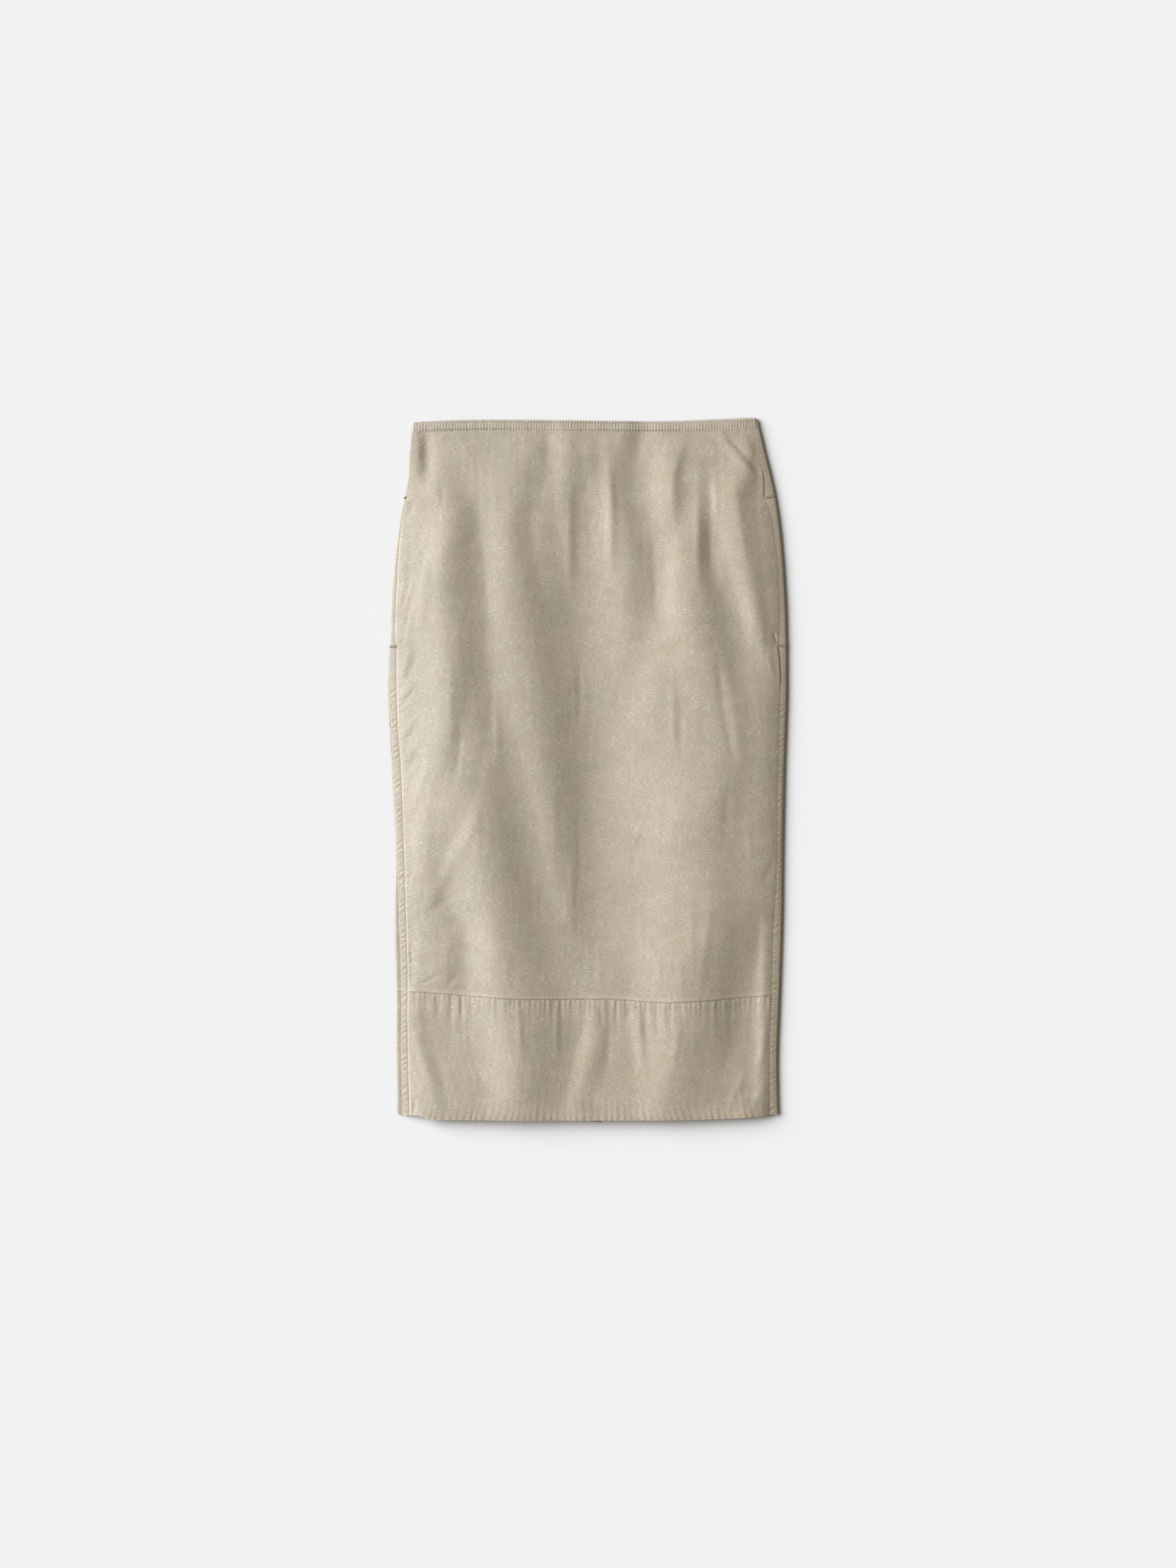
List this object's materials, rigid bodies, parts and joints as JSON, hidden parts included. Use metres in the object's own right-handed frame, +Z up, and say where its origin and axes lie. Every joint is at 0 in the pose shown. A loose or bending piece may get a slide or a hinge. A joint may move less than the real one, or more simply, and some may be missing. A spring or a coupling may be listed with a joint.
{
  "type": "long fitted skirt",
  "caption": "Long fitted skirt laid flat, with felled side seams, in-seam pockets, narrow waistband, seamed hem band and back vent.",
  "frame": {"origin": "middle of the skirt on the surface that it lies on, half way between the hips' edges and half way from waist to hem", "axes": "+X to the right as seen from above, +Y from the hem to the waist, +Z up off the surface, with the front panel on top"},
  "size_m": [0.4378, 0.7756, 0.0181],
  "materials": {
    "skirt_cloth": "slub weave, warm beige",
    "pocketing": "plain weave, light brown",
    "zip_tape": "woven tape, beige"
  },
  "bodies": {
    "root": {"front_panel": "skirt_cloth", "hem_band_front": "skirt_cloth", "waistband_front": "skirt_cloth", "back_panel_left": "skirt_cloth", "back_panel_right": "skirt_cloth", "hem_band_back_left": "skirt_cloth", "hem_band_back_right": "skirt_cloth", "waistband_back_left": "skirt_cloth", "waistband_back_right": "skirt_cloth", "pocket_bag_left": "pocketing", "pocket_bag_right": "pocketing", "back_zip": "zip_tape"}
  },
  "joints": []
}
